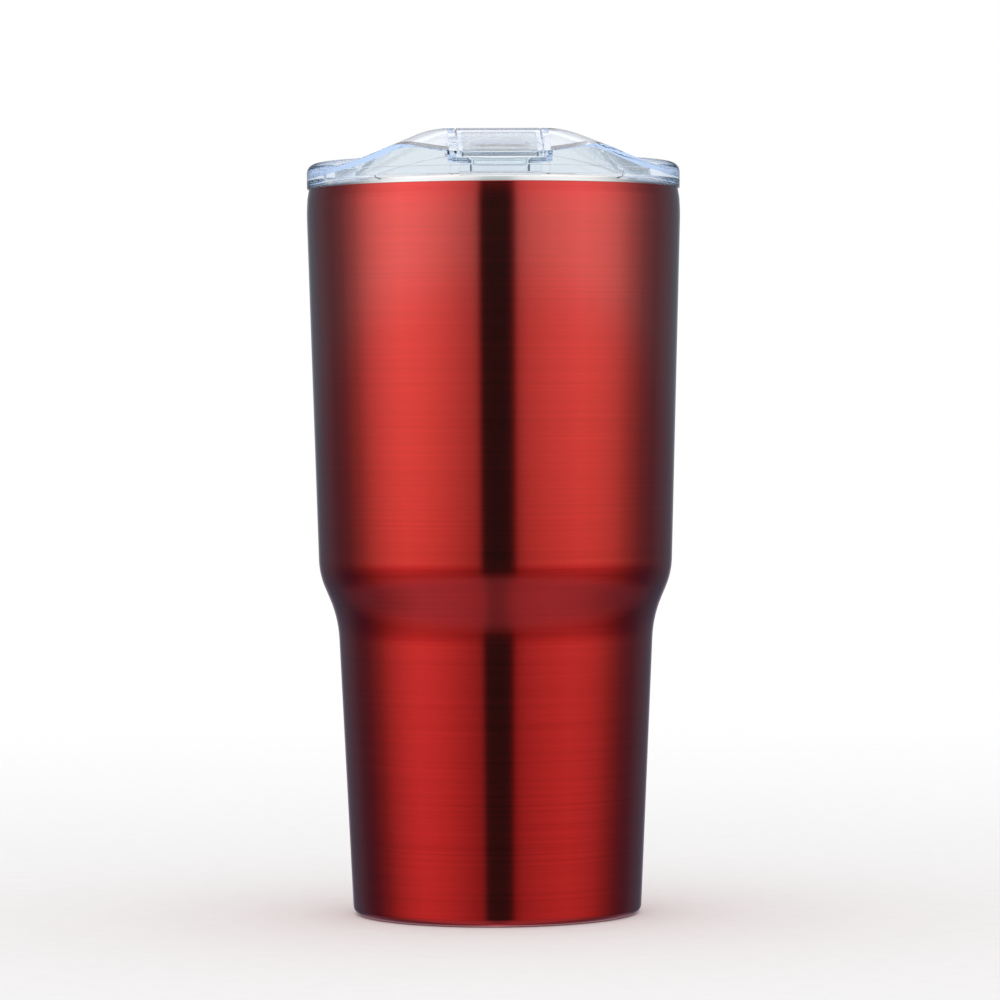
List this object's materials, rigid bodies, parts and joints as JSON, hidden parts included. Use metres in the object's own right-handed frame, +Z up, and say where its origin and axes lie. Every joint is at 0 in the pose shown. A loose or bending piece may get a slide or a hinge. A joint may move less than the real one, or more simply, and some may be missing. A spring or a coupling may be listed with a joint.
{
  "type": "insulated tumbler with lid",
  "caption": "Double-walled steel tumbler with a stepped side, red lacquered outside, and a clear push-in lid with a raised spout and a flip tab.",
  "frame": {"origin": "on the table, at the centre of the ring the cup stands on", "axes": "+Z up along the cup's axis; -Y towards the side with the spout and the flip tab's free end; +X to the right when the spout is in front"},
  "size_m": [0.0954, 0.0954, 0.1989],
  "materials": {
    "red_lacquered_steel": "translucent red lacquer over horizontally brushed stainless steel",
    "bare_steel": "bare stainless steel, polished on the lip and satin inside",
    "copper_foil": "thin bright copper foil",
    "solder_glass": "dark solder glass, fire polished",
    "getter_metal": "dull pressed metal powder",
    "clear_plastic": "clear, faintly blue moulded plastic, glossy",
    "silicone": "translucent white silicone, satin"
  },
  "bodies": {
    "cup": {"outer_shell": "red_lacquered_steel", "liner": "bare_steel", "liner_floor": "bare_steel", "heat_foil": "copper_foil", "base_plate": "bare_steel", "pump_hole_bead": "solder_glass", "getter_cup": "bare_steel", "getter_pellet": "getter_metal", "base_cover": "bare_steel"},
    "lid": {"lid_body": "clear_plastic", "lid_gasket": "silicone"},
    "tab": {"flip_tab": "clear_plastic", "tab_seal": "silicone"}
  },
  "joints": [
    {"name": "lid_lift", "type": "slide", "parent": "cup", "child": "lid", "axis": [0, 0, 1], "range_m": [0, 0.06]},
    {"name": "tab_hinge", "type": "hinge", "parent": "lid", "child": "tab", "pos_m": [0, -0.006, 0.1971], "axis": [-1, 0, 0], "range_deg": [0, 170]}
  ]
}
